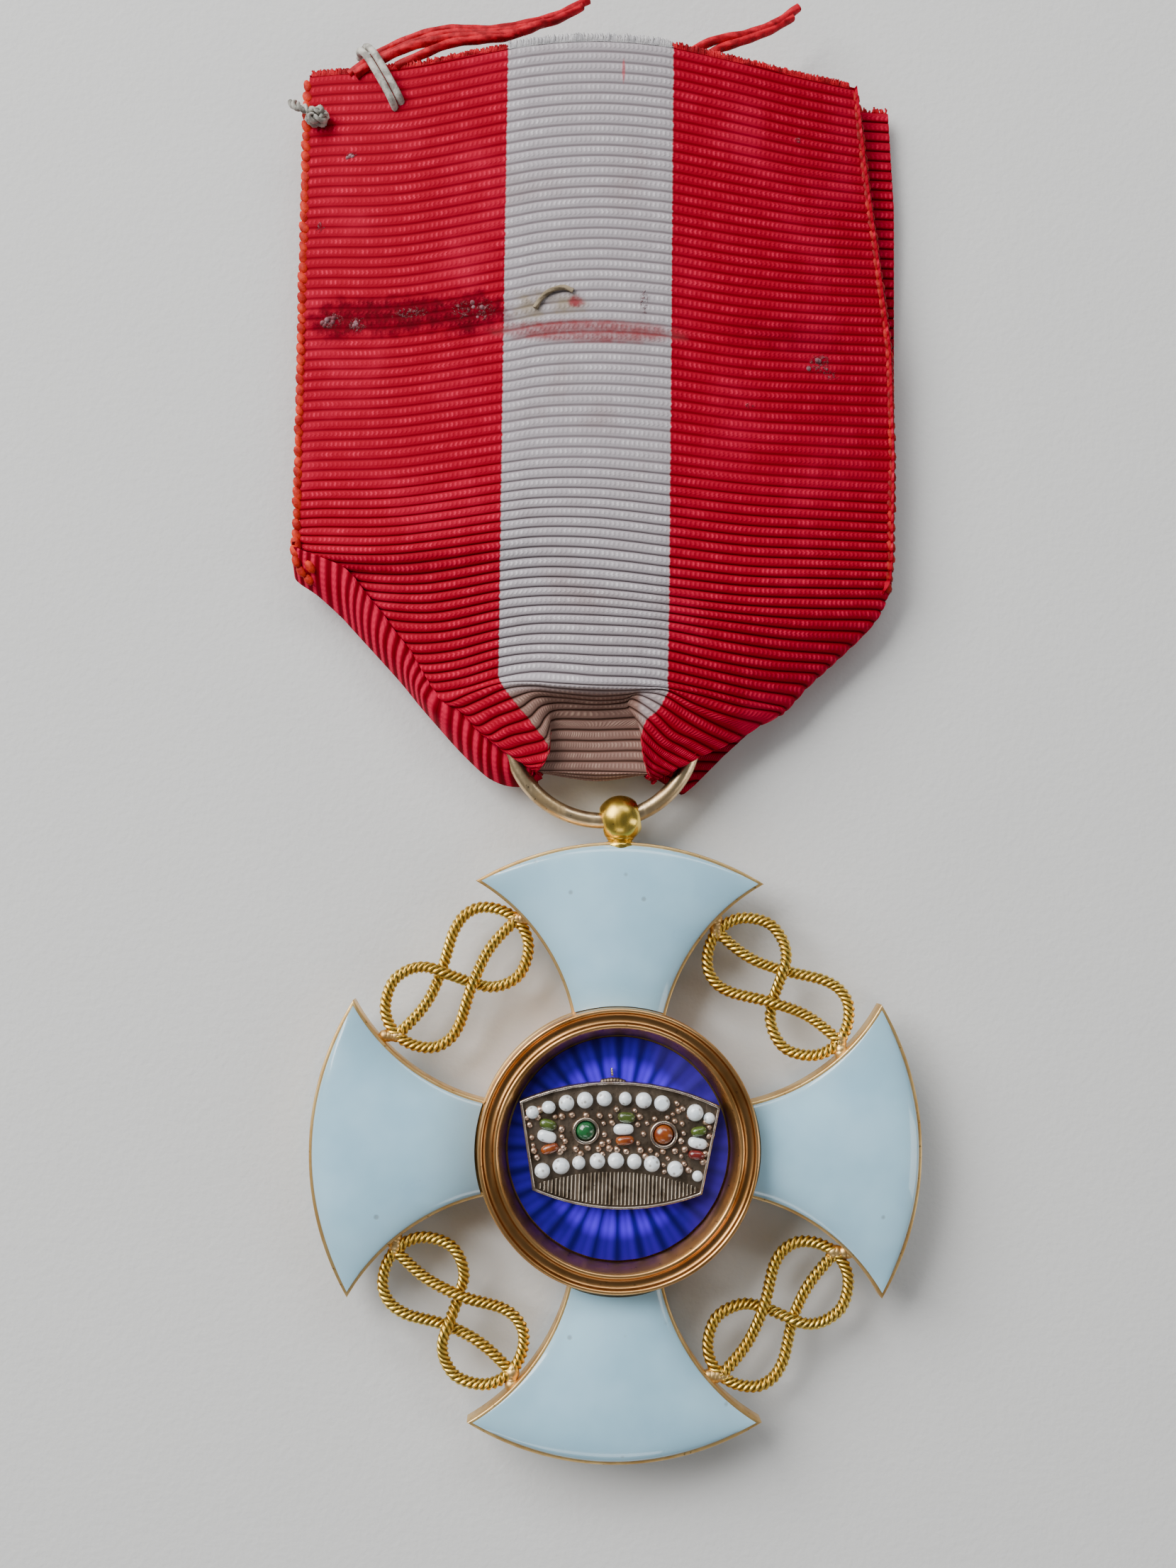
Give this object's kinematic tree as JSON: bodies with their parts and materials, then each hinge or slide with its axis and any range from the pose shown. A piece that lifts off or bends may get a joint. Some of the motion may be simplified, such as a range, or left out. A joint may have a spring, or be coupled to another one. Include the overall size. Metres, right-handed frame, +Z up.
{
  "type": "order badge",
  "caption": "Enamelled cross with wire knots between its arms and a crowned medallion, on a jump ring and a folded red and white ribbon.",
  "frame": {"origin": "middle of the badge's bounding box seen from above, on the plane that it lies on", "axes": "+Z up, out of the front of the cross; +Y from the cross to the ribbon's top end; +X to the right seen from the front"},
  "size_m": [0.0388, 0.0864, 0.0059],
  "materials": {
    "frame_gold": "polished gold-coloured metal with small worn spots",
    "bezel_gold": "polished rose gold-coloured metal",
    "ring_bronze": "dull, slightly worn bronze-coloured wire",
    "crown_silver": "tarnished silver",
    "white_enamel": "glossy, slightly bluish white enamel",
    "blue_enamel": "translucent cobalt enamel over engraved rays",
    "white_bead": "glossy white enamel beads",
    "green_stone": "green enamel stones",
    "red_stone": "orange-red enamel stones",
    "ribbon": "red, white and red ribbed silk"
  },
  "bodies": {
    "root": {"cross_frame": "frame_gold", "front_bezel": "bezel_gold", "blue_disc": "blue_enamel", "crown_band": "crown_silver", "back_bezel": "bezel_gold", "back_plate": "frame_gold", "jump_ring": "ring_bronze", "ribbon": "ribbon", "enamel_top": "white_enamel", "back_enamel_top": "white_enamel", "enamel_right": "white_enamel", "back_enamel_right": "white_enamel", "enamel_bottom": "white_enamel", "back_enamel_bottom": "white_enamel", "enamel_left": "white_enamel", "back_enamel_left": "white_enamel", "cabochon_green": "green_stone", "cabochon_red": "red_stone", "stone_left_green": "green_stone", "stone_left_white": "white_bead", "stone_left_red": "red_stone", "stone_middle_green": "green_stone", "stone_middle_white": "white_bead", "stone_middle_red": "red_stone", "stone_right_green": "green_stone", "stone_right_white": "white_bead", "stone_right_red": "red_stone", "bead_upper_1": "white_bead", "bead_upper_2": "white_bead", "bead_upper_3": "white_bead", "bead_upper_4": "white_bead", "bead_upper_5": "white_bead", "bead_upper_6": "white_bead", "bead_upper_7": "white_bead", "bead_upper_8": "white_bead", "bead_upper_9": "white_bead", "bead_upper_10": "white_bead", "bead_lower_1": "white_bead", "bead_lower_2": "white_bead", "bead_lower_3": "white_bead", "bead_lower_4": "white_bead", "bead_lower_5": "white_bead", "bead_lower_6": "white_bead", "bead_lower_7": "white_bead", "bead_lower_8": "white_bead", "bead_lower_9": "white_bead"}
  },
  "joints": []
}
